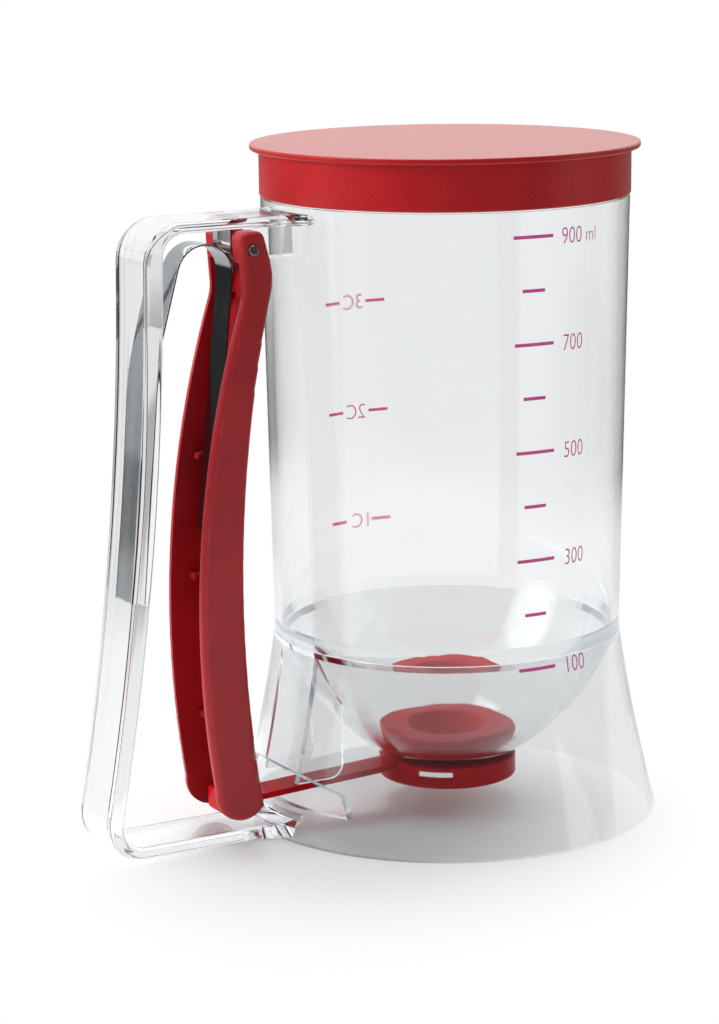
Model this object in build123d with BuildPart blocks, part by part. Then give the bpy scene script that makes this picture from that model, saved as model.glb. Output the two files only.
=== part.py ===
from build123d import *
import os
from math import atan2, degrees, hypot, sqrt

# Hand-held batter dispenser. A clear cup with a round bowl stands on a flared clear skirt.
# A sprung trigger, hung inside a clear strap handle, pulls a red slide gate from under the
# outlet. Millimetres, +Z up. The origin is the centre of the skirt's base ring, at table
# height. The handle points along -X.

# Cup
rim_z = 184.3
shoulder_radius = 48.2
rim_flare = 2.3
wall = 2.0
rim_wall = 2.6
ring_height = 4.0
rim_rounding = 0.3

# Bowl and its flat outlet floor
bowl_arc = 63.0
floor_radius = 19.5
floor_z = 18.3
outlet_radius = 12.0

# Flared skirt
skirt_height = 50.9
base_radius = 58.6
skirt_bow = 0.8
bond_gap = 0.1

# Lid
lid_overhang = 2.5
lid_thickness = 1.6
lid_rounding = 0.5
lid_depth = 12.4
lid_wall = 1.2
lid_clearance = 0.3
lid_proud = 0.3
lid_seat_gap = 0.4

# Outlet gasket
gasket_margin = 1.7
gasket_corner_gap = 0.15
gasket_thickness = 4.2
gasket_rounding = 1.1
mouth_radius = 11.6
spout_radius = 8.0
gasket_lip = 1.2
gasket_lip_thickness = 1.2
gasket_fit = 0.05
seal_gap = 0.1

# Slide gate: a round plate with a rim, on a long flat bar
gate_radius = 19.3
gate_z = 8.3
gate_height = 6.0
gate_plate = 1.2
gate_rim = 1.8
gate_rounding = 0.5
rim_slot_angle = 49.0
rim_slot_length = 9.6
rim_slot_height = 1.9
bar_width = 9.0
bar_thickness = 1.7

# Slot in the skirt for the slide, and the two guide fins above it
window_half_width = 28.6
window_lean = 3.1
window_headroom = 0.5
window_arch = 3.1
sill_gap = 0.9
fin_half_gap = 8.0
fin_thickness = 1.8
fin_inner_x = 38.7
fin_gap = 0.5
fin_corner = 4.0
fin_bowl_gap = 0.15

# Strap handle
handle_width = 19.0
arm_drop = 14.3
arm_thickness = 3.0
foot_lift = 1.0
foot_thickness = 3.6
grip_thickness = 5.6
grip_foot_thickness = 6.0
grip_gap_top = 38.9
grip_gap_foot = 47.7
grip_bow = 3.9
grip_back_bow = 4.4
grip_outer_corner = 11.0
grip_inner_corner = 6.0
strap_rounding = 1.4
arm_flare = 9.5
foot_flare = 13.5
foot_root_rise = 8.0
foot_root_run = 9.0
foot_root_bow = 1.8

# Trigger hinge
pivot_offset = 14.2
pivot_drop = 5.4
pin_radius = 1.5
pin_overhang = 0.9
pin_rounding = 0.6
pin_fit = 0.02
hinge_clearance = 0.05
knuckle_radius = 3.6
knuckle_drop = 3.2
knuckle_gap = 0.4

# Trigger: a bowed channel, open towards the grip
trigger_width = 22.0
trigger_wall = 2.5
trigger_web = 2.5
trigger_rounding = 1.6
ear_reach = 3.6
ear_rise = 4.8
ear_crown = 3.4
ear_corner = 2.4
ear_thickness = 5.6
ear_heel = 3.3
back_drop = 7.5
back_reach = 6.7
back_bow = 7.6
back_rounding = 18.0
neck_drop = 12.0
neck_depth = 9.0
neck_rounding = 12.0
front_bow = 8.2
foot_back = 1.0
foot_depth = 14.0
foot_drop = 3.4
foot_front_rise = 5.3
rib_thickness = 1.6
rib_height = 4.5
rib_drops = (13.5, 56.2, 89.0, 127.8)
rib_notch_gap = 0.8

# Cross bar inside the trigger's foot, and the slide's open hook on it
link_z = 10.9
link_offset = 5.4
link_radius = 1.6
link_clearance = 0.35
hook_wall = 1.3
hook_rise = 3.2
foot_slot_rise = 5.0

# Leaf spring: one leg lies in a groove of the grip, the other in the trigger's channel
strip_width = 9.0
strip_thickness = 0.5
strip_fit = 0.3
seat_gap = 0.02
groove_depth = 0.75
groove_run_out = 18.0
seat_foot_z = 70.1
seat_top_z = 125.1
spring_kick = 10.5
spring_kick_radius = 60.0
spring_rise = 22.2
arch_radius = 8.0
leaf_tilt = 6.0
leaf_length = 68.8
leaf_pad_height = 8.0

# Heights and places worked out from the sizes above
rim_radius = shoulder_radius + rim_flare
shoulder_z = skirt_height + ring_height
floor_under_z = floor_z - wall
neck_z = rim_z - lid_depth - lid_seat_gap
gate_top = gate_z + gate_height
arm_top = rim_z - arm_drop
foot_top = foot_lift + foot_thickness
arm_under = arm_top - arm_thickness
pivot_x = -(rim_radius + pivot_offset)
pivot_z = arm_under - pivot_drop
link_x = pivot_x - link_offset
channel_width = trigger_width - 2 * trigger_wall
ear_gap = trigger_width - 2 * ear_thickness
beyond = 2 * base_radius


def cup_radius(z):
    """Outer radius of the cup's drafted wall at height z."""
    draft = (rim_radius - shoulder_radius) / (rim_z - shoulder_z)
    return shoulder_radius + draft * (z - shoulder_z)


def skirt_mid_radius():
    """Outer radius of the skirt halfway up its flare."""
    return (shoulder_radius + base_radius) / 2 - skirt_bow


def bowl_point(gap, z):
    """Point at height z of the bowl's profile, an arc from the floor's edge to the cup's wall
    at the shoulder, moved outwards by gap."""
    run = Vector(shoulder_radius - wall - floor_radius, shoulder_z - floor_z)
    inward = Vector(-run.Y, run.X).normalized() * sqrt(bowl_arc**2 - run.length**2 / 4)
    centre = Vector(floor_radius, floor_z) + run * 0.5 + inward
    return (centre.X + sqrt((bowl_arc + gap) ** 2 - (z - centre.Y) ** 2), z)


def bow_point(start, end, bow):
    """Middle of the arc from start to end that stands bow to the left of its chord."""
    run = Vector(*end) - Vector(*start)
    left = Vector(-run.Y, run.X).normalized()
    middle = (Vector(*start) + Vector(*end)) * 0.5 + left * bow
    return (middle.X, middle.Y)


def bow_x(start, end, bow, z):
    """x of that arc at height z, for an arc whose bow points to +X."""
    chord = hypot(end[0] - start[0], end[1] - start[1])
    radius = (chord**2 / 4 + bow**2) / (2 * bow)
    middle = bow_point(start, end, bow - radius)
    return middle[0] + sqrt(radius**2 - (z - middle[1]) ** 2)


def cup_form(gap):
    """The cup's outside as a filled body, grown by gap."""
    with BuildPart() as form:
        with BuildSketch(Plane.XZ):
            with BuildLine():
                Polyline(
                    (0, skirt_height),
                    (shoulder_radius + gap, skirt_height),
                    (shoulder_radius + gap, shoulder_z),
                    (rim_radius + gap, rim_z),
                    (0, rim_z),
                    close=True,
                )
            make_face()
        revolve(axis=Axis.Z)
    return form.part


def skirt_form(gap):
    """The skirt's outside as a filled body, grown by gap."""
    with BuildPart() as form:
        with BuildSketch(Plane.XZ):
            with BuildLine():
                Polyline((base_radius + gap, 0), (0, 0), (0, skirt_height))
                Line((0, skirt_height), (shoulder_radius + gap, skirt_height))
                Spline(
                    (shoulder_radius + gap, skirt_height),
                    (skirt_mid_radius() + gap, skirt_height / 2),
                    (base_radius + gap, 0),
                )
            make_face()
        revolve(axis=Axis.Z)
    return form.part


def bowl_form(gap):
    """The bowl's outside below the shoulder as a filled body, grown by gap."""
    foot = bowl_point(wall + gap, floor_under_z)
    middle = bowl_point(wall + gap, (floor_under_z + skirt_height) / 2)
    edge = bowl_point(wall + gap, skirt_height)
    with BuildPart() as form:
        with BuildSketch(Plane.XZ):
            with BuildLine():
                ThreePointArc(foot, middle, edge)
                Polyline(edge, (0, skirt_height), (0, floor_under_z), foot)
            make_face()
        revolve(axis=Axis.Z)
    return form.part


def saddle_outline(sketch, radius, flare):
    """Plan of a strap that flares onto a round wall, drawn in the open sketch."""
    side = handle_width / 2
    Circle(radius)
    Rectangle(radius + 2 * flare, handle_width, align=(Align.MAX, Align.CENTER))
    for corner in ((-sqrt(radius**2 - side**2), -side), (-sqrt(radius**2 - side**2), side)):
        fillet(sketch.vertices().sort_by_distance(corner)[0], flare)


# Container: drafted cup with a stepped neck for the lid, round bowl and flat floor in one
# clear moulding.
neck_radius = cup_radius(neck_z) + lid_proud - lid_wall - lid_clearance
with BuildPart() as container:
    with BuildSketch(Plane.XZ):
        with BuildLine():
            Polyline(
                (shoulder_radius - wall, shoulder_z),
                (rim_radius - rim_wall, rim_z),
                (neck_radius, rim_z),
                (neck_radius, neck_z),
                (cup_radius(neck_z), neck_z),
                (shoulder_radius, shoulder_z),
                (shoulder_radius, skirt_height),
                bowl_point(wall, skirt_height),
            )
            ThreePointArc(
                bowl_point(wall, skirt_height),
                bowl_point(wall, (skirt_height + floor_under_z) / 2),
                bowl_point(wall, floor_under_z),
            )
            Polyline(
                bowl_point(wall, floor_under_z),
                (outlet_radius, floor_under_z),
                (outlet_radius, floor_z),
                (floor_radius, floor_z),
            )
            ThreePointArc(
                (floor_radius, floor_z),
                bowl_point(0, (floor_z + shoulder_z) / 2),
                (shoulder_radius - wall, shoulder_z),
            )
        make_face()
    revolve(axis=Axis.Z)
    fillet(container.edges().filter_by(GeomType.CIRCLE).group_by(Axis.Z)[-1], rim_rounding)
container.part.label = "container"

# Base skirt: flared ring bonded under the shoulder, with the slide's slot and two guide fins.
bar_end_bottom = link_z - bar_thickness / 2
sill_z = bar_end_bottom - sill_gap
window_top = gate_top + window_headroom
window_end = window_half_width - window_lean
fin_bottom = gate_top + fin_gap
with BuildPart() as guide_fins:
    with BuildSketch(Plane.XZ) as fin_outline:
        with Locations((-fin_inner_x, fin_bottom)):
            Rectangle(base_radius, skirt_height, align=(Align.MAX, Align.MIN))
        fillet(fin_outline.vertices().sort_by(Axis.Y)[:2].sort_by(Axis.X)[-1], fin_corner)
    extrude(amount=fin_half_gap + fin_thickness, both=True)
    Box(beyond, 2 * fin_half_gap, 2 * beyond, mode=Mode.SUBTRACT)
    add(skirt_form(-wall / 2), mode=Mode.INTERSECT)
    add(bowl_form(fin_bowl_gap), mode=Mode.SUBTRACT)

with BuildPart() as base_skirt:
    add(skirt_form(0))
    add(skirt_form(-wall), mode=Mode.SUBTRACT)
    with BuildSketch(Plane.YZ):
        with BuildLine():
            Polyline(
                (-window_end, window_top),
                (-window_half_width, sill_z),
                (window_half_width, sill_z),
                (window_end, window_top),
            )
            ThreePointArc(
                (window_end, window_top),
                (0, window_top + window_arch),
                (-window_end, window_top),
            )
        make_face()
    extrude(amount=-beyond, mode=Mode.SUBTRACT)
    add(guide_fins.part)
    add(bowl_form(bond_gap), mode=Mode.SUBTRACT)
    with Locations((0, 0, skirt_height)):
        Box(beyond, beyond, 2 * bond_gap, mode=Mode.SUBTRACT)
base_skirt.part.label = "base_skirt"

# Lid: flat flange over the rim, with a skirt round the cup's neck that ends flush with the cup.
lid_inner = neck_radius + lid_clearance
lid_radius = lid_inner + lid_wall + lid_overhang
with BuildPart() as lid:
    with BuildSketch(Plane.XY.offset(rim_z)):
        Circle(lid_radius)
    extrude(amount=lid_thickness)
    with BuildSketch(Plane.XY.offset(rim_z - lid_depth)):
        Circle(lid_inner + lid_wall)
        Circle(lid_inner, mode=Mode.SUBTRACT)
    extrude(amount=lid_depth)
    flange_edges = lid.edges().filter_by(GeomType.CIRCLE).sort_by(SortBy.RADIUS)[-2:]
    fillet(flange_edges + lid.edges().group_by(Axis.Z)[0], lid_rounding)
lid.part.label = "lid"

# Outlet gasket: silicone grommet, its soft flange on the bowl's floor and its lip under it.
gasket_width = 2 * (floor_radius - gasket_margin)
corner_reach = floor_radius - gasket_corner_gap
gasket_corner = (gasket_width / sqrt(2) - corner_reach) / (sqrt(2) - 1)
neck_bottom = gate_top + seal_gap
with BuildPart() as outlet_gasket:
    with BuildSketch(Plane.XY.offset(floor_z)):
        RectangleRounded(gasket_width, gasket_width, gasket_corner)
    extrude(amount=gasket_thickness)
    with BuildSketch(Plane.XY.offset(neck_bottom)):
        Circle(outlet_radius - gasket_fit)
    extrude(amount=floor_z - neck_bottom)
    with BuildSketch(Plane.XY.offset(floor_under_z - gasket_lip_thickness)):
        Circle(outlet_radius + gasket_lip)
    extrude(amount=gasket_lip_thickness)
    with BuildSketch(Plane.XY.offset(neck_bottom)):
        Circle(spout_radius)
    with BuildSketch(Plane.XY.offset(floor_z + gasket_thickness)):
        Circle(mouth_radius)
    loft(mode=Mode.SUBTRACT)
    fillet(outlet_gasket.faces().sort_by(Axis.Z)[-1].edges(), gasket_rounding)
outlet_gasket.part.label = "outlet_gasket"

# Slide gate: shallow upside-down cup whose top closes the outlet, with a bar to the trigger.
hook_half = link_radius + link_clearance + hook_wall
notch_bottom = link_z - link_radius - link_clearance
with BuildPart() as slide_gate:
    with BuildSketch(Plane.XY.offset(gate_z)):
        Circle(gate_radius)
    extrude(amount=gate_height)
    fillet(slide_gate.edges().filter_by(GeomType.CIRCLE), gate_rounding)
    with BuildSketch(Plane.XY.offset(gate_z)):
        Circle(gate_radius - gate_rim)
    extrude(amount=gate_height - gate_plate, mode=Mode.SUBTRACT)
    for side in (-rim_slot_angle, rim_slot_angle):
        with Locations(Location((0, 0, gate_top - gate_plate), (0, 0, 180 + side))):
            Box(
                gate_radius + gate_rim,
                rim_slot_length,
                rim_slot_height,
                align=(Align.MIN, Align.CENTER, Align.MAX),
                mode=Mode.SUBTRACT,
            )
    with BuildSketch(Plane.XZ):
        with BuildLine():
            Polyline(
                (-gate_radius + gate_rim, gate_top),
                (link_x, link_z + bar_thickness / 2),
                (link_x, bar_end_bottom),
                (-gate_radius + gate_rim, gate_top - bar_thickness),
                close=True,
            )
        make_face()
        with Locations((link_x, link_z + hook_rise)):
            Rectangle(
                2 * hook_half,
                hook_rise + link_z - notch_bottom + hook_wall,
                align=(Align.CENTER, Align.MAX),
            )
    extrude(amount=bar_width / 2, both=True)
    fillet(slide_gate.edges().filter_by(Axis.Y).group_by(Axis.Z)[0], hook_wall)
    with BuildSketch(Plane.XZ):
        with Locations((link_x, link_z)):
            Circle(link_radius + link_clearance)
            Rectangle(
                2 * (link_radius + link_clearance),
                beyond,
                align=(Align.CENTER, Align.MIN),
            )
    extrude(amount=bar_width, both=True, mode=Mode.SUBTRACT)
slide_gate.part.label = "slide_gate"

# Strap handle: clear C-shaped strap with flared saddles on the cup and the skirt, a hinge
# knuckle under its top arm and a groove for the spring in its grip.
grip_top = (-(rim_radius + grip_gap_top), arm_under)
grip_foot = (-(base_radius + grip_gap_foot), foot_top)
outer_top = (grip_top[0] - grip_thickness, arm_top)
outer_foot = (grip_foot[0] - grip_foot_thickness, foot_lift)
seat_foot = Vector(bow_x(grip_top, grip_foot, grip_bow, seat_foot_z) - groove_depth, seat_foot_z)
seat_top = Vector(bow_x(grip_top, grip_foot, grip_bow, seat_top_z) - groove_depth, seat_top_z)
seat_line = (seat_top - seat_foot).normalized()
skirt_slope = 2 * (base_radius - skirt_mid_radius()) / skirt_height
root_top = foot_lift + foot_root_rise
skirt_foot_radius = base_radius - skirt_slope * root_top - skirt_bow / 2
root_edge = (-skirt_foot_radius, root_top)
root_end = (-skirt_foot_radius - foot_root_run, foot_top)
with BuildPart() as foot_root:
    with BuildSketch(Plane.XY.offset(foot_lift)) as foot_saddle:
        saddle_outline(foot_saddle, skirt_foot_radius, foot_flare)
    extrude(amount=foot_root_rise)
    with BuildSketch(Plane.XZ):
        with BuildLine():
            Polyline(root_end, (root_end[0], 0), (0, 0), (0, root_top), root_edge)
            ThreePointArc(root_edge, bow_point(root_end, root_edge, -foot_root_bow), root_end)
        make_face()
    revolve(axis=Axis.Z, mode=Mode.INTERSECT)

with BuildPart() as handle:
    with BuildSketch(Plane.XZ) as strap:
        with BuildLine():
            Polyline(grip_top, (0, arm_under), (0, arm_top), outer_top)
            ThreePointArc(outer_top, bow_point(outer_top, outer_foot, grip_back_bow), outer_foot)
            Polyline(outer_foot, (0, foot_lift), (0, foot_top), grip_foot)
            ThreePointArc(grip_foot, bow_point(grip_top, grip_foot, grip_bow), grip_top)
        make_face()
        for corner, radius in (
            (outer_top, grip_outer_corner),
            (outer_foot, grip_outer_corner),
            (grip_top, grip_inner_corner),
            (grip_foot, grip_inner_corner),
        ):
            fillet(strap.vertices().sort_by_distance(corner)[0], radius)
    extrude(amount=handle_width / 2, both=True)
    with BuildSketch(Plane.XY.offset(arm_under)) as arm_saddle:
        saddle_outline(arm_saddle, cup_radius(arm_under), arm_flare)
    extrude(amount=arm_thickness)
    upright_faces = handle.faces().filter_by(lambda face: abs(face.normal_at().Z) < 1e-6)
    fillet(upright_faces.edges().filter_by(Axis.Z, reverse=True), strap_rounding)
    add(foot_root.part)
    with BuildSketch(Plane.XZ):
        with Locations((pivot_x, pivot_z)):
            Circle(knuckle_radius)
        with Locations((pivot_x, pivot_z - knuckle_drop)):
            Rectangle(
                -pivot_x,
                knuckle_drop + pivot_drop + arm_thickness / 2,
                align=(Align.MIN, Align.MIN),
            )
        with Locations((pivot_x - knuckle_radius, pivot_z)):
            Rectangle(
                knuckle_radius,
                pivot_drop + arm_thickness / 2,
                align=(Align.MIN, Align.MIN),
            )
    extrude(amount=ear_gap / 2 - knuckle_gap, both=True)
    with BuildSketch(Plane.XZ):
        groove_foot = seat_foot - seat_line * strip_fit
        groove_top = seat_top + seat_line * groove_run_out
        with BuildLine():
            Polyline(
                groove_foot,
                groove_top,
                groove_top + Vector(grip_thickness, 0),
                groove_foot + Vector(grip_thickness, 0),
                close=True,
            )
        make_face()
    extrude(amount=strip_width / 2 + strip_fit, both=True, mode=Mode.SUBTRACT)
    with Locations((pivot_x, 0, pivot_z)):
        Cylinder(pin_radius + pin_fit, beyond, rotation=(90, 0, 0), mode=Mode.SUBTRACT)
    add(cup_form(bond_gap), mode=Mode.SUBTRACT)
    add(skirt_form(bond_gap), mode=Mode.SUBTRACT)
handle.part.label = "handle"

# Pivot pin: steel pin through the trigger's ears and the handle's knuckle.
with BuildPart() as pivot_pin:
    with Locations((pivot_x, 0, pivot_z)):
        Cylinder(pin_radius, trigger_width + 2 * pin_overhang, rotation=(90, 0, 0))
    fillet(pivot_pin.edges().filter_by(GeomType.CIRCLE), pin_rounding)
pivot_pin.part.label = "pivot_pin"

# Leaf spring: bent steel strip that pushes the trigger back towards the cup.
spring_start = seat_foot + Vector(strip_thickness / 2 + seat_gap, 0)
seat_lean = degrees(atan2(seat_line.X, seat_line.Y))
arch_turn = 180 + leaf_tilt - seat_lean - spring_kick
with BuildPart() as leaf_spring:
    with BuildSketch(Plane.XZ):
        with BuildLine():
            seat_leg = Line(spring_start, spring_start + seat_top - seat_foot)
            kick = JernArc(seat_leg @ 1, seat_leg % 1, spring_kick_radius, -spring_kick)
            rise = Line(kick @ 1, kick @ 1 + (kick % 1) * spring_rise)
            arch = JernArc(rise @ 1, rise % 1, arch_radius, -arch_turn)
            leaf = Line(arch @ 1, arch @ 1 + (arch % 1) * leaf_length)
        trace(line_width=strip_thickness)
    extrude(amount=strip_width / 2, both=True)
leaf_spring.part.label = "leaf_spring"

# Trigger: bowed red channel, open towards the grip, with two ears on the pin, pairs of ribs
# beside the leaf, a pad under its end and a cross bar for the slide in its foot.
back_top = (pivot_x + back_reach, pivot_z - back_drop)
back_foot = (pivot_x + foot_back, link_z)
front_top = (back_top[0] - neck_depth, pivot_z - neck_drop)
front_foot = (back_foot[0] - foot_depth, link_z + foot_front_rise)


def back_line(shift):
    """Ends and middle of the trigger's back, moved by shift towards the grip."""
    middle = bow_point(back_top, back_foot, -back_bow)
    return [(x - shift, z) for x, z in (back_top, middle, back_foot)]


def channel_band(start, end):
    """Slab between two copies of the trigger's back, as wide as the channel."""
    near, far = back_line(start), back_line(end)
    with BuildPart() as band:
        with BuildSketch(Plane.XZ):
            with BuildLine():
                ThreePointArc(*near)
                Line(near[2], far[2])
                ThreePointArc(*far)
                Line(near[0], far[0])
            make_face()
        extrude(amount=channel_width / 2, both=True)
    return band.part


with BuildPart() as cross_ribs:
    with Locations(*[(pivot_x, 0, pivot_z - drop) for drop in rib_drops]):
        Box(beyond, channel_width, rib_thickness)
    Box(beyond * 2, strip_width + 2 * rib_notch_gap, beyond * 4, mode=Mode.SUBTRACT)
    add(channel_band(trigger_web / 2, trigger_web + rib_height), mode=Mode.INTERSECT)

leaf_down = leaf % 1
leaf_back = Vector(-leaf_down.Y, leaf_down.X)
pad_foot = leaf @ 1 + leaf_back * (strip_thickness / 2 + seat_gap)
with BuildPart() as leaf_pad:
    with BuildSketch(Plane.XZ):
        with BuildLine():
            Polyline(
                pad_foot,
                pad_foot - leaf_down * leaf_pad_height,
                pad_foot - leaf_down * leaf_pad_height + leaf_back * beyond,
                pad_foot + leaf_back * beyond,
                close=True,
            )
        make_face()
    extrude(amount=strip_width / 2, both=True)
    add(channel_band(trigger_web / 2, beyond), mode=Mode.INTERSECT)

ear_front = (pivot_x - ear_reach, pivot_z + ear_rise)
ear_back = (pivot_x + ear_crown, pivot_z + ear_rise)
with BuildPart() as trigger:
    with BuildSketch(Plane.XZ) as trigger_side:
        with BuildLine():
            ThreePointArc(*back_line(0))
            ThreePointArc(back_foot, (link_x, link_z - foot_drop), front_foot)
            ThreePointArc(front_foot, bow_point(front_foot, front_top, front_bow), front_top)
            Polyline(front_top, ear_front, ear_back, back_top)
        make_face()
        for corner, radius in (
            (front_top, neck_rounding),
            (ear_front, ear_corner),
            (ear_back, ear_corner),
            (back_top, back_rounding),
        ):
            fillet(trigger_side.vertices().sort_by_distance(corner)[0], radius)
    extrude(amount=trigger_width / 2, both=True)
    fillet(trigger.faces().filter_by(Axis.Y).edges(), trigger_rounding)
    add(channel_band(trigger_web, beyond), mode=Mode.SUBTRACT)
    with Locations((pivot_x, 0, pivot_z - ear_heel)):
        Box(
            beyond,
            ear_gap,
            beyond,
            align=(Align.CENTER, Align.CENTER, Align.MIN),
            mode=Mode.SUBTRACT,
        )
        Box(
            beyond,
            channel_width,
            back_drop - ear_heel,
            align=(Align.CENTER, Align.CENTER, Align.MAX),
            mode=Mode.SUBTRACT,
        )
    with Locations((pivot_x, 0, link_z + foot_slot_rise)):
        Box(
            beyond,
            channel_width,
            beyond,
            align=(Align.CENTER, Align.CENTER, Align.MAX),
            mode=Mode.SUBTRACT,
        )
    add(cross_ribs.part)
    add(leaf_pad.part)
    with Locations((link_x, 0, link_z)):
        Cylinder(link_radius, channel_width + trigger_wall, rotation=(90, 0, 0))
    with Locations((pivot_x, 0, pivot_z)):
        Cylinder(pin_radius + hinge_clearance, beyond, rotation=(90, 0, 0), mode=Mode.SUBTRACT)
trigger.part.label = "trigger"

os.makedirs("parts", exist_ok=True)
for piece in (
    container,
    base_skirt,
    lid,
    outlet_gasket,
    slide_gate,
    handle,
    pivot_pin,
    trigger,
    leaf_spring,
):
    export_step(piece.part, f"parts/{piece.part.label}.step")
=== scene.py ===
from math import cos, radians, sin

import bmesh
import bpy
from mathutils import Euler, Matrix, Vector


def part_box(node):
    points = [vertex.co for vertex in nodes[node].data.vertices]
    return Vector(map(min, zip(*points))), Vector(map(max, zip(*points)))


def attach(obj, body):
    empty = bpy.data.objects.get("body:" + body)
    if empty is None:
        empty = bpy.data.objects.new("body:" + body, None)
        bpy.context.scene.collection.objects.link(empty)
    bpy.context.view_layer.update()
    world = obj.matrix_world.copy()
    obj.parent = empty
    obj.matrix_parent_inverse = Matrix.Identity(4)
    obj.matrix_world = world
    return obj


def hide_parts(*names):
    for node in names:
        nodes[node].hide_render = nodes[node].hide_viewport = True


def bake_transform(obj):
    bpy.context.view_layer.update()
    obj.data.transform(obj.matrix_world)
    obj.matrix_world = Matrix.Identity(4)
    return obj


# Batter dispenser: clear cup, skirt and strap handle, red lid, trigger and slide gate. The CAD
# nodes keep their shapes. The leaf spring, the printed scales and the gate mark on the lid are
# made here. Metres, +Z up, the handle towards -X.
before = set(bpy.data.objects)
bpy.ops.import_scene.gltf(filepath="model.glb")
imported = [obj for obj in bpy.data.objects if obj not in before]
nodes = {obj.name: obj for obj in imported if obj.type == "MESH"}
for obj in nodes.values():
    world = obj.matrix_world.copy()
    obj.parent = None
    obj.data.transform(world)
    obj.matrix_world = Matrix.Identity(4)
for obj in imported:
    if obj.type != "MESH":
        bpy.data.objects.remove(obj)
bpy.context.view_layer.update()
scene = bpy.context.scene
scene.view_settings.view_transform = "Standard"
mm = 0.001


def linear(code):
    """An sRGB hex colour as linear RGBA."""
    parts = [int(code[i : i + 2], 16) / 255 for i in (0, 2, 4)]
    return [p / 12.92 if p <= 0.04045 else ((p + 0.055) / 1.055) ** 2.4 for p in parts] + [1.0]


def add_node(tree, kind, inputs, **settings):
    """A node with its settings; each input takes a value, or a link if it is given a socket."""
    node = tree.nodes.new(kind)
    for name, value in settings.items():
        setattr(node, name, value)
    for name, value in inputs.items():
        if isinstance(value, bpy.types.NodeSocket):
            tree.links.new(value, node.inputs[name])
        else:
            node.inputs[name].default_value = value
    return node


def set_stops(ramp, *stops):
    """Places the stops of a colour ramp, each given as a position and a hex colour."""
    for element, (position, code) in zip(ramp.color_ramp.elements, stops):
        element.position = position
        element.color = linear(code)


def empty_material(name):
    """A material with no nodes, and its node tree."""
    material = bpy.data.materials.new(name)
    material.use_nodes = True
    material.node_tree.nodes.clear()
    return material, material.node_tree


def clear_styrene(name, body, shade):
    """Clear SAN, injection moulded in a polished tool: bright and water-clear, with a faint cool
    body colour that only shows along the edges, and slow waves from the flow of the melt. body
    tints what is seen through it, and shade is what each face leaves of a lamp's light."""
    material, tree = empty_material(name)
    flow_wave = 9 * mm
    haze_patch = 25 * mm
    place = add_node(tree, "ShaderNodeTexCoord", {})
    waves = add_node(
        tree,
        "ShaderNodeTexNoise",
        {"Vector": place.outputs["Object"], "Scale": 1 / flow_wave, "Detail": 1.0},
    )
    haze = add_node(
        tree,
        "ShaderNodeTexNoise",
        {"Vector": place.outputs["Object"], "Scale": 1 / haze_patch, "Detail": 3.0},
    )
    rough = add_node(
        tree,
        "ShaderNodeMapRange",
        {
            "Value": haze.outputs["Fac"],
            "From Min": 0.35,
            "From Max": 0.7,
            "To Min": 0.015,
            "To Max": 0.05,
        },
    )
    bump = add_node(
        tree,
        "ShaderNodeBump",
        {"Height": waves.outputs["Fac"], "Strength": 0.05, "Distance": 0.2 * mm},
    )
    glass = add_node(
        tree,
        "ShaderNodeBsdfPrincipled",
        {
            "Base Color": linear(body),
            "Roughness": rough.outputs["Result"],
            "IOR": 1.57,
            "Transmission Weight": 1.0,
            "Normal": bump.outputs["Normal"],
        },
    )
    # Light that has been thrown to and fro inside an edge three times is let out, and lamps shine
    # through the walls, so that the red parts and the floor inside are lit.
    path = add_node(tree, "ShaderNodeLightPath", {})
    spent = add_node(
        tree,
        "ShaderNodeMath",
        {0: path.outputs["Glossy Depth"], 1: 2.5},
        operation="GREATER_THAN",
    )
    let_out = add_node(tree, "ShaderNodeBsdfTransparent", {"Color": linear("EFF1F3")})
    lit = add_node(tree, "ShaderNodeBsdfTransparent", {"Color": linear(shade)})
    seen = add_node(
        tree,
        "ShaderNodeMixShader",
        {0: spent.outputs[0], 1: glass.outputs["BSDF"], 2: let_out.outputs["BSDF"]},
    )
    surface = add_node(
        tree,
        "ShaderNodeMixShader",
        {0: path.outputs["Is Shadow Ray"], 1: seen.outputs["Shader"], 2: lit.outputs["BSDF"]},
    )
    depth = add_node(
        tree, "ShaderNodeVolumeAbsorption", {"Color": linear("C4CBD4"), "Density": 14.0}
    )
    add_node(
        tree,
        "ShaderNodeOutputMaterial",
        {"Surface": surface.outputs["Shader"], "Volume": depth.outputs["Volume"]},
    )
    return material


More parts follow.
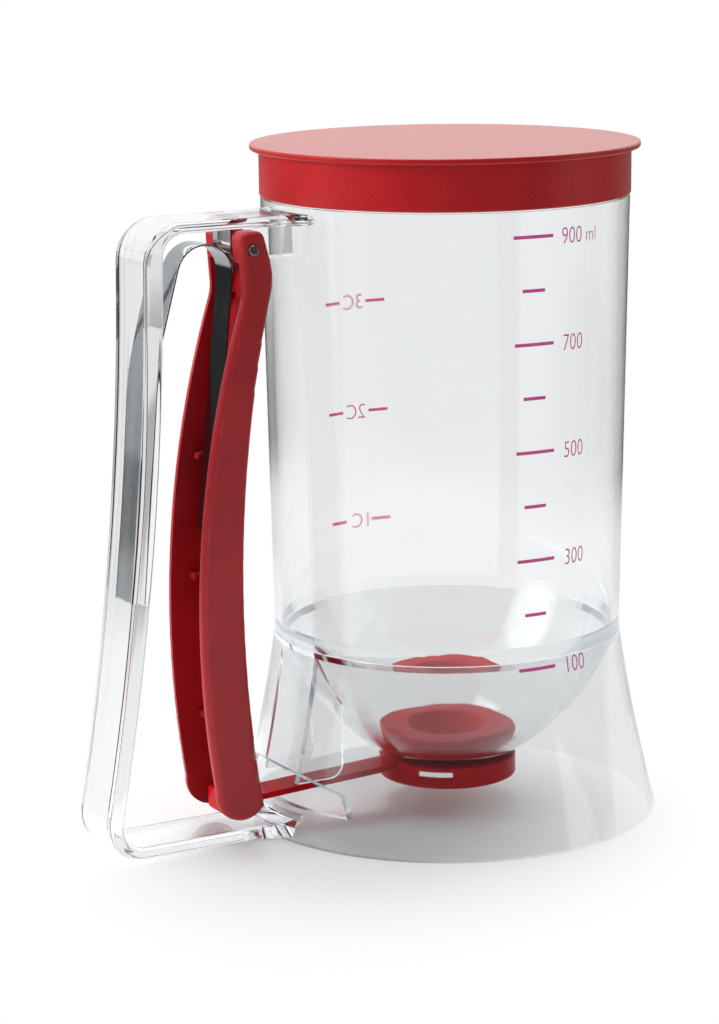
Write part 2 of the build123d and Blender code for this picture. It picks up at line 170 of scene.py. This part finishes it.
def red_moulding(name, code, shade, grain, gloss, bloom, shine=0.5):
    """Red plastic moulded with a fine spark-eroded grain, given in mm: a satin skin whose colour
    drifts a little with the flow, and that turns pale at a flat angle where the grain stands up,
    by bloom. shine is how much it mirrors, and 0.5 is a plain hard skin. The grain is drawn
    coarser than the real 0.05 mm so that it shows."""
    material, tree = empty_material(name)
    drift_patch = 14 * mm
    place = add_node(tree, "ShaderNodeTexCoord", {})
    drift = add_node(
        tree,
        "ShaderNodeTexNoise",
        {"Vector": place.outputs["Object"], "Scale": 1 / drift_patch, "Detail": 2.0},
    )
    colour = add_node(tree, "ShaderNodeValToRGB", {"Fac": drift.outputs["Fac"]})
    set_stops(colour, (0.35, code), (0.7, shade))
    fine = add_node(
        tree,
        "ShaderNodeTexNoise",
        {"Vector": place.outputs["Object"], "Scale": 1 / (grain * mm), "Detail": 2.0},
    )
    rough = add_node(
        tree,
        "ShaderNodeMapRange",
        {
            "Value": fine.outputs["Fac"],
            "From Min": 0.3,
            "From Max": 0.7,
            "To Min": gloss[0],
            "To Max": gloss[1],
        },
    )
    bump = add_node(
        tree,
        "ShaderNodeBump",
        {"Height": fine.outputs["Fac"], "Strength": 0.12, "Distance": 0.05 * mm},
    )
    skin = add_node(
        tree,
        "ShaderNodeBsdfPrincipled",
        {
            "Base Color": colour.outputs["Color"],
            "Roughness": rough.outputs["Result"],
            "IOR": 1.49,
            "Specular IOR Level": shine,
            "Sheen Weight": bloom,
            "Sheen Roughness": 0.35,
            "Sheen Tint": linear("FFEDE4"),
            "Normal": bump.outputs["Normal"],
        },
    )
    add_node(tree, "ShaderNodeOutputMaterial", {"Surface": skin.outputs["BSDF"]})
    return material


def steel(name, code, shade, stretch, gloss):
    """Cold rolled or drawn steel: a bright metal with fine marks along the way it was worked,
    which stretch draws out. The marks are drawn coarser than the real ones."""
    material, tree = empty_material(name)
    mark_width = 0.4 * mm
    place = add_node(tree, "ShaderNodeTexCoord", {})
    along = add_node(
        tree, "ShaderNodeMapping", {"Vector": place.outputs["Object"], "Scale": stretch}
    )
    marks = add_node(
        tree,
        "ShaderNodeTexNoise",
        {"Vector": along.outputs["Vector"], "Scale": 1 / mark_width, "Detail": 3.0},
    )
    colour = add_node(tree, "ShaderNodeValToRGB", {"Fac": marks.outputs["Fac"]})
    set_stops(colour, (0.3, shade), (0.65, code))
    rough = add_node(
        tree,
        "ShaderNodeMapRange",
        {
            "Value": marks.outputs["Fac"],
            "From Min": 0.3,
            "From Max": 0.7,
            "To Min": gloss[0],
            "To Max": gloss[1],
        },
    )
    bump = add_node(
        tree,
        "ShaderNodeBump",
        {"Height": marks.outputs["Fac"], "Strength": 0.1, "Distance": 0.02 * mm},
    )
    metal = add_node(
        tree,
        "ShaderNodeBsdfPrincipled",
        {
            "Base Color": colour.outputs["Color"],
            "Metallic": 1.0,
            "Roughness": rough.outputs["Result"],
            "Normal": bump.outputs["Normal"],
        },
    )
    add_node(tree, "ShaderNodeOutputMaterial", {"Surface": metal.outputs["BSDF"]})
    return material


def scale_ink(name, sheer):
    """Magenta pad-printing ink: a thin matt coat whose colour varies a little in strength. sheer
    is the share of light that goes straight through it and takes its colour on the way."""
    material, tree = empty_material(name)
    ink_spot = 0.6 * mm
    place = add_node(tree, "ShaderNodeTexCoord", {})
    spots = add_node(
        tree,
        "ShaderNodeTexNoise",
        {"Vector": place.outputs["Object"], "Scale": 1 / ink_spot, "Detail": 2.0},
    )
    colour = add_node(tree, "ShaderNodeValToRGB", {"Fac": spots.outputs["Fac"]})
    set_stops(colour, (0.35, "E351A2"), (0.65, "EC62B0"))
    coat = add_node(
        tree,
        "ShaderNodeBsdfPrincipled",
        {"Base Color": colour.outputs["Color"], "Roughness": 0.55, "IOR": 1.5},
    )
    through = add_node(tree, "ShaderNodeBsdfTransparent", {"Color": linear("EE5EAE")})
    film = add_node(
        tree,
        "ShaderNodeMixShader",
        {0: sheer, 1: coat.outputs["BSDF"], 2: through.outputs["BSDF"]},
    )
    add_node(tree, "ShaderNodeOutputMaterial", {"Surface": film.outputs["Shader"]})
    return material


# The skirt's plastic is a little greyer than the others and takes more of a lamp's light.
cup_clear = clear_styrene("clear_styrene", body="FBFCFC", shade="F0F1F2")
skirt_clear = clear_styrene("clear_styrene_skirt", body="F4F5F5", shade="D8DADB")
handle_clear = clear_styrene("clear_styrene_handle", body="FBFCFC", shade="F8F9F9")
lid_red = red_moulding(
    "red_polypropylene", "BC1018", "B00E16", grain=0.5, gloss=(0.26, 0.36), bloom=0.35
)
trigger_red = red_moulding(
    "grained_polypropylene", "B41A24", "A6151F", grain=0.35, gloss=(0.34, 0.46), bloom=0.1
)
# Acetal and silicone have a waxy skin, which mirrors less.
gate_red = red_moulding(
    "red_acetal", "D4121C", "C81019", grain=0.5, gloss=(0.12, 0.2), bloom=0.0, shine=0.05
)
valve_red = red_moulding(
    "red_silicone", "F02A38", "E22432", grain=0.7, gloss=(0.42, 0.55), bloom=0.1, shine=0.25
)
# Polished wire for the pin, drawn along Y, and bright cold rolled strip for the spring, rolled
# along Z.
pin_steel = steel(
    "drawn_steel", "8E8A84", "6E6A65", stretch=(1.0, 0.05, 1.0), gloss=(0.3, 0.4)
)
strip_steel = steel(
    "bright_spring_steel", "A2A6AA", "8E9296", stretch=(1.0, 1.0, 0.04), gloss=(0.05, 0.15)
)
# The cup scale is printed thinner, and is mostly seen from behind against the light.
near_ink = scale_ink("magenta_ink", sheer=0.1)
far_ink = scale_ink("sheer_magenta_ink", sheer=0.9)
finishes = {
    "container": cup_clear,
    "base_skirt": skirt_clear,
    "handle": handle_clear,
    "lid": lid_red,
    "trigger": trigger_red,
    "slide_gate": gate_red,
    "outlet_gasket": valve_red,
    "pivot_pin": pin_steel,
}
for name, finish in finishes.items():
    nodes[name].data.materials.clear()
    nodes[name].data.materials.append(finish)


def finished(shape, name, finish):
    """The bmesh as an object, smooth but for its sharp edges, with its material."""
    sharp = radians(15)
    for face in shape.faces:
        face.smooth = True
    for edge in shape.edges:
        edge.smooth = edge.calc_face_angle(0) < sharp
    mesh = bpy.data.meshes.new(name)
    shape.to_mesh(mesh)
    shape.free()
    mesh.materials.append(finish)
    piece = bpy.data.objects.new(name, mesh)
    scene.collection.objects.link(piece)
    return piece


def spring_strip():
    """The leaf spring: a strip seated in the grip, bent over an arch of 8 mm radius and down into
    the trigger, with its edges dressed round."""
    half_width = 4.5 * mm
    thickness = 0.5 * mm
    dressing = 0.12 * mm
    foot_x, foot_z = -96.18 * mm, 70.1 * mm
    shape = bmesh.new()
    ends = [shape.verts.new((foot_x, y, foot_z)) for y in (-half_width, half_width)]

    def straight(edges, reach, steps):
        """Draws the strip's end edge out by reach, in mm, in equal steps."""
        for _ in range(steps):
            grown = bmesh.ops.extrude_edge_only(shape, edges=edges)["geom"]
            verts = [v for v in grown if isinstance(v, bmesh.types.BMVert)]
            bmesh.ops.translate(shape, verts=verts, vec=Vector(reach) * mm / steps)
            edges = [e for e in grown if isinstance(e, bmesh.types.BMEdge)]
        return edges

    def turned(edges, centre, angle, steps):
        """Bends the strip's end edge about an axis along Y through centre, in mm."""
        grown = bmesh.ops.spin(
            shape,
            geom=edges,
            cent=Vector(centre) * mm,
            axis=(0, 1, 0),
            angle=radians(angle),
            steps=steps,
            use_merge=False,
        )["geom_last"]
        return [e for e in grown if isinstance(e, bmesh.types.BMEdge)]

    # Up the grip's groove, out of it, over the arch and down the trigger's channel.
    front = straight([shape.edges.new(ends)], reach=(4.93, 0, 55.0), steps=6)
    front = turned(front, centre=(-31.49, 0, 119.74), angle=10.5, steps=4)
    front = straight(front, reach=(5.98, 0, 21.38), steps=3)
    front = turned(front, centre=(-75.59, 0, 155.13), angle=170.38, steps=24)
    straight(front, reach=(-7.19, 0, -68.42), steps=8)
    bmesh.ops.remove_doubles(shape, verts=shape.verts[:], dist=0.001 * mm)
    bmesh.ops.recalc_face_normals(shape, faces=shape.faces[:])
    shape.normal_update()
    # The path is the strip's middle, so half the thickness goes to each side.
    for vert in shape.verts:
        vert.co += vert.normal * thickness / 2
    bmesh.ops.solidify(shape, geom=shape.faces[:], thickness=thickness)
    slit = [
        edge
        for edge in shape.edges
        if all(abs(abs(v.co.y) - half_width) < 0.01 * mm for v in edge.verts)
        and edge.calc_face_angle(0) > radians(60)
    ]
    bmesh.ops.bevel(
        shape,
        geom=slit,
        offset=dressing,
        offset_type="OFFSET",
        segments=2,
        profile=0.5,
        affect="EDGES",
        material=-1,
    )
    return finished(shape, "spring_strip", strip_steel)


# One leg lies in the grip and the other in the trigger, with the arch between them.
spring = spring_strip()
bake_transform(spring)
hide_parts("leaf_spring")


def wall_radius(z):
    """Outer radius of the cup's drafted wall, or of the flared skirt under the cup's ring, at
    height z, all in mm."""
    ring_z, foot_z, foot_radius = 50.9, 54.9, 48.2
    draft = 2.3 / 129.4
    flare, flare_growth = 0.1415, 0.001235
    if z > ring_z:
        return foot_radius + draft * (z - foot_z)
    below = ring_z - z
    return foot_radius + flare * below + flare_growth * below**2


def wrap(verts, angle, z):
    """Lays a flat mark, drawn in mm about its own left middle, on the wall at an angle and
    height."""
    proud = 0.05
    for vert in verts:
        level = z + vert.co.y
        radius = wall_radius(level) + proud
        turn = radians(angle) + vert.co.x / radius
        vert.co = Vector((radius * cos(turn), radius * sin(turn), level)) * mm


def tick(shape, angle, span, z, weight):
    """A printed line across span degrees of the wall, weight mm thick."""
    length = radians(span) * wall_radius(z)
    verts = bmesh.ops.create_grid(shape, x_segments=8, y_segments=1, size=0.5)["verts"]
    bmesh.ops.scale(shape, verts=verts, vec=(length, weight, 1.0))
    bmesh.ops.translate(shape, verts=verts, vec=(length / 2, 0, 0))
    wrap(verts, angle, z)


def figures(shape, words, angle, span, z, height):
    """Printed figures, as tall as height in mm and squeezed into span degrees of the wall."""
    letters = bpy.data.curves.new(words, "FONT")
    letters.body = words
    letters.resolution_u = 4
    # Thins the strokes a little.
    letters.offset = -0.012
    writing = bpy.data.objects.new(words, letters)
    scene.collection.objects.link(writing)
    bpy.context.view_layer.update()
    graph = bpy.context.evaluated_depsgraph_get()
    mesh = bpy.data.meshes.new_from_object(writing.evaluated_get(graph))
    bpy.data.objects.remove(writing)
    before = len(shape.verts)
    shape.from_mesh(mesh)
    shape.verts.ensure_lookup_table()
    verts = shape.verts[before:]
    low = [min(v.co[i] for v in verts) for i in (0, 1)]
    high = [max(v.co[i] for v in verts) for i in (0, 1)]
    bmesh.ops.translate(shape, verts=verts, vec=(-low[0], -(low[1] + high[1]) / 2, 0))
    length = radians(span) * wall_radius(z)
    fit = (length / (high[0] - low[0]), height / (high[1] - low[1]), 1.0)
    bmesh.ops.scale(shape, verts=verts, vec=fit)
    wrap(verts, angle, z)
    bpy.data.meshes.remove(mesh)


def coated(shape, name, ink):
    """The marks as a thin coat of ink on the cup."""
    bmesh.ops.solidify(shape, geom=shape.faces[:], thickness=0.03 * mm)
    piece = finished(shape, name, ink)
    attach(piece, "dispenser_body")


# Volume scale in millilitres, printed on the -Y side of the cup, from 900 down to 100. Heights are
# in mm and angles in degrees round the cup.
scale = bmesh.new()
top_level, step_height, crowding = 165.95, 14.5, 1.05
for step in range(9):
    # The steps draw together a little towards the top, where the cup is wider.
    level = top_level - step_height * step - crowding * (step / 4 - 1) ** 2
    if step % 2:
        tick(scale, angle=-97.7 + 0.32 * step, span=7.7, z=level, weight=0.9)
    else:
        volume = str(900 - 100 * step)
        tick(scale, angle=-100.4 + 0.35 * step, span=13.4, z=level, weight=0.9)
        figures(scale, volume, angle=-83.7 + 0.55 * step, span=8.0, z=level - 0.3, height=4.3)
figures(scale, "ml", angle=-73.6, span=4.4, z=164.4, height=3.6)
coated(scale, "volume_scale", near_ink)

# Cup scale on the +Y side, which reads in mirror writing through the cup.
cups = bmesh.new()
for number, level, width in ((3, 136.5, 7.8), (2, 104.5, 7.8), (1, 72.3, 6.8)):
    shift = -0.6 * (3 - number)
    tick(cups, angle=80.6 + shift, span=7.3, z=level, weight=0.85)
    figures(cups, f"{number}C", angle=89.2 + shift, span=width, z=level, height=4.2)
    tick(cups, angle=98.5 + shift, span=6.6, z=level, weight=0.85)
coated(cups, "cup_scale", far_ink)

# Gate mark: the small dimple with a raised lip where the lid was filled, beside its middle.
mark = bmesh.new()
bmesh.ops.create_circle(mark, cap_ends=True, segments=32, radius=1.1 * mm)
middle = mark.faces[:]
for inset, lift in ((0.25, 0.12), (0.25, 0.0), (0.2, -0.11)):
    bmesh.ops.inset_region(
        mark, faces=middle, thickness=inset * mm, depth=0, use_even_offset=True
    )
    raised = list({v for f in middle for v in f.verts})
    bmesh.ops.translate(mark, verts=raised, vec=(0, 0, lift * mm))
sunk = 0.14 * mm
lid_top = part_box("lid")[1][2]
bmesh.ops.translate(mark, verts=mark.verts[:], vec=(11.6 * mm, 4.1 * mm, lid_top - sunk))
gate_mark = finished(mark, "gate_mark", lid_red)
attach(gate_mark, "lid_cap")


def light_paths(tree):
    """Two sockets: one is 1 for what is seen straight on or through clear walls, with no matt
    surface on the way, and the other for what gloss has thrown back at least once."""
    path = add_node(tree, "ShaderNodeLightPath", {})
    clean = add_node(
        tree, "ShaderNodeMath", {0: path.outputs["Diffuse Depth"], 1: 0.5}, operation="LESS_THAN"
    )
    straight_on = add_node(
        tree,
        "ShaderNodeMath",
        {0: path.outputs["Is Camera Ray"], 1: path.outputs["Is Transmission Ray"]},
        operation="MAXIMUM",
    )
    direct = add_node(
        tree,
        "ShaderNodeMath",
        {0: straight_on.outputs[0], 1: clean.outputs[0]},
        operation="MULTIPLY",
    )
    bounced = add_node(
        tree, "ShaderNodeMath", {0: path.outputs["Glossy Depth"], 1: 0.5}, operation="GREATER_THAN"
    )
    return direct.outputs[0], bounced.outputs[0]


def white_paper():
    """White paper: a matt sheet that takes the soft shadow round the object and fades to plain
    white further off. Gloss alone sees painted shade on it: darker in front of the object, and
    in a patch at the back left as if a dark card lay there, which draws the edges of the clear
    walls."""
    material, tree = empty_material("white_paper")
    direct, bounced = light_paths(tree)
    place = add_node(tree, "ShaderNodeTexCoord", {})
    axes = add_node(tree, "ShaderNodeSeparateXYZ", {"Vector": place.outputs["Object"]})
    # Painted shade seen by gloss alone: the paper reads darker in front of the object.
    front = add_node(
        tree,
        "ShaderNodeMapRange",
        {
            "Value": axes.outputs["Y"],
            "From Min": -0.3,
            "From Max": -0.05,
            "To Min": 0.5,
            "To Max": 0.94,
        },
    )
    # A painted dark patch at the back left, seen by gloss alone, as if a dark card lay there.
    painted_dark_patch_middle = (-0.46, 0.7, 0.0)
    apart = add_node(
        tree,
        "ShaderNodeVectorMath",
        {0: place.outputs["Object"], 1: painted_dark_patch_middle},
        operation="DISTANCE",
    )
    painted_dark_patch = add_node(
        tree,
        "ShaderNodeMapRange",
        {
            "Value": apart.outputs["Value"],
            "From Min": 0.4,
            "From Max": 0.6,
            "To Min": 0.52,
            "To Max": 1.0,
        },
    )
    dark = add_node(
        tree,
        "ShaderNodeMath",
        {0: front.outputs["Result"], 1: painted_dark_patch.outputs["Result"]},
        operation="MULTIPLY",
    )
    held = add_node(tree, "ShaderNodeMix", {"Factor": bounced, "A": 1.0, "B": dark.outputs[0]})
    plain = add_node(
        tree, "ShaderNodeMath", {0: direct, 1: held.outputs["Result"]}, operation="MULTIPLY"
    )
    seen = add_node(tree, "ShaderNodeMath", {0: plain.outputs[0], 1: bounced}, operation="MAXIMUM")
    # The shadow falls round the handle and the near side of the cup. The fade is centred a little
    # behind them, so that the shadow is short in front.
    centred = add_node(
        tree,
        "ShaderNodeMapping",
        {"Vector": place.outputs["Object"], "Location": (0.07, -0.02, 0.0)},
    )
    away = add_node(
        tree, "ShaderNodeVectorMath", {0: centred.outputs["Vector"]}, operation="LENGTH"
    )
    fade = add_node(
        tree,
        "ShaderNodeMapRange",
        {
            "Value": away.outputs["Value"],
            "From Min": 0.06,
            "From Max": 0.145,
            "To Min": 0.0,
            "To Max": 1.0,
        },
        interpolation_type="SMOOTHSTEP",
    )
    share = add_node(
        tree,
        "ShaderNodeMath",
        {0: fade.outputs["Result"], 1: seen.outputs[0]},
        operation="MULTIPLY",
    )
    # Painted reflection for gloss alone: the paper seems to end about half a metre off, dark
    # beyond.
    table = add_node(
        tree,
        "ShaderNodeMapRange",
        {
            "Value": away.outputs["Value"],
            "From Min": 0.4,
            "From Max": 0.55,
            "To Min": 0.9,
            "To Max": 0.05,
        },
        interpolation_type="SMOOTHSTEP",
    )
    far = add_node(
        tree,
        "ShaderNodeMix",
        {"Factor": plain.outputs[0], "A": table.outputs["Result"], "B": 1.0},
    )
    lift = add_node(tree, "ShaderNodeMath", {0: plain.outputs[0], 1: 0.07}, operation="MULTIPLY")
    sheet = add_node(tree, "ShaderNodeBsdfDiffuse", {"Color": linear("F4F4F4")})
    glow = add_node(tree, "ShaderNodeEmission", {"Strength": lift.outputs[0]})
    near = add_node(
        tree, "ShaderNodeAddShader", {0: sheet.outputs["BSDF"], 1: glow.outputs["Emission"]}
    )
    white = add_node(tree, "ShaderNodeEmission", {"Strength": far.outputs["Result"]})
    surface = add_node(
        tree,
        "ShaderNodeMixShader",
        {0: share.outputs[0], 1: near.outputs["Shader"], 2: white.outputs["Emission"]},
    )
    add_node(tree, "ShaderNodeOutputMaterial", {"Surface": surface.outputs["Shader"]})
    return material


floor_shape = bmesh.new()
bmesh.ops.create_grid(floor_shape, x_segments=1, y_segments=1, size=20.0)
floor_mesh = bpy.data.meshes.new("floor")
floor_shape.to_mesh(floor_mesh)
floor_shape.free()
floor_mesh.materials.append(white_paper())
floor = bpy.data.objects.new("floor", floor_mesh)
scene.collection.objects.link(floor)


def studio_room():
    """The room: white straight on and through clear walls, and dim for matt surfaces, which the
    lamps light. Gloss alone sees painted reflections: a white sheet behind the object, a darker
    room in front of it, and a soft bright window to the left, a painted highlight that lights
    nothing and makes the highlight in the bowl."""
    world = bpy.data.worlds.new("studio")
    world.use_nodes = True
    tree = world.node_tree
    tree.nodes.clear()
    direct, bounced = light_paths(tree)
    held = add_node(
        tree, "ShaderNodeMath", {0: bounced, 1: -1.0, 2: 1.0}, operation="MULTIPLY_ADD"
    )
    plain = add_node(
        tree, "ShaderNodeMath", {0: direct, 1: held.outputs[0]}, operation="MULTIPLY"
    )
    view = add_node(tree, "ShaderNodeTexCoord", {})
    axes = add_node(tree, "ShaderNodeSeparateXYZ", {"Vector": view.outputs["Generated"]})
    # Painted reflections for gloss alone: white behind the object, darker in front.
    sheet = add_node(
        tree,
        "ShaderNodeMapRange",
        {
            "Value": axes.outputs["Y"],
            "From Min": -0.5,
            "From Max": 0.4,
            "To Min": 0.12,
            "To Max": 1.0,
        },
        interpolation_type="SMOOTHSTEP",
    )
    # A painted highlight: a soft bright patch seen by gloss alone, as if a window were there; it
    # lights nothing.
    painted_window_direction = (-0.845, 0.226, 0.485)
    toward = add_node(
        tree,
        "ShaderNodeVectorMath",
        {0: view.outputs["Generated"], 1: painted_window_direction},
        operation="DOT_PRODUCT",
    )
    painted_window_glow = add_node(
        tree,
        "ShaderNodeMapRange",
        {
            "Value": toward.outputs["Value"],
            "From Min": 0.93,
            "From Max": 0.985,
            "To Min": 0.0,
            "To Max": 2.8,
        },
        interpolation_type="SMOOTHSTEP",
    )
    sheen = add_node(
        tree,
        "ShaderNodeMath",
        {0: sheet.outputs["Result"], 1: painted_window_glow.outputs["Result"]},
        operation="ADD",
    )
    dim = add_node(tree, "ShaderNodeMix", {"Factor": bounced, "A": 0.3, "B": sheen.outputs[0]})
    level = add_node(
        tree, "ShaderNodeMix", {"Factor": plain.outputs[0], "A": dim.outputs["Result"], "B": 1.0}
    )
    room = add_node(
        tree,
        "ShaderNodeBackground",
        {"Color": linear("FFFFFF"), "Strength": level.outputs["Result"]},
    )
    add_node(tree, "ShaderNodeOutputWorld", {"Surface": room.outputs["Background"]})
    return world


scene.world = studio_room()


def softbox(name, place, size, power, mirrored):
    """A large square lamp that looks at the cup, and that shows in gloss and clear walls if
    mirrored. Metres and watts."""
    cup_middle = Vector((0, 0, 0.1))
    lamp = bpy.data.lights.new(name, "AREA")
    lamp.shape = "SQUARE"
    lamp.size = size
    lamp.energy = power
    holder = bpy.data.objects.new(name, lamp)
    holder.location = place
    holder.rotation_euler = (cup_middle - Vector(place)).to_track_quat("-Z", "Y").to_euler()
    holder.visible_glossy = mirrored
    holder.visible_transmission = mirrored
    scene.collection.objects.link(holder)


softbox("key", place=(-1.35, 0.45, 0.6), size=1.0, power=19.5, mirrored=False)
softbox("top", place=(0.0, 0.4, 1.65), size=1.0, power=14.0, mirrored=True)
softbox("fill", place=(1.2, -0.9, 0.5), size=0.9, power=2.0, mirrored=True)

# Camera at the photograph's viewing angle: 31 degrees round towards the handle and 12 down. It is
# turned 1.7 degrees off the cup's axis, because the cup stands right of the picture's middle.
lens = bpy.data.cameras.new("camera")
lens.sensor_width = 36.0
lens.lens = 107.16
camera = bpy.data.objects.new("camera", lens)
camera.location = (-0.4275, -0.7114, 0.2609)
down, turn, roll = radians(12.1), radians(31 - 1.663), radians(0.6)
heading = Euler((radians(90) - down, 0, -turn)).to_matrix()
camera.rotation_euler = (heading @ Matrix.Rotation(-roll, 3, "Z")).to_euler()
scene.collection.objects.link(camera)
scene.camera = camera
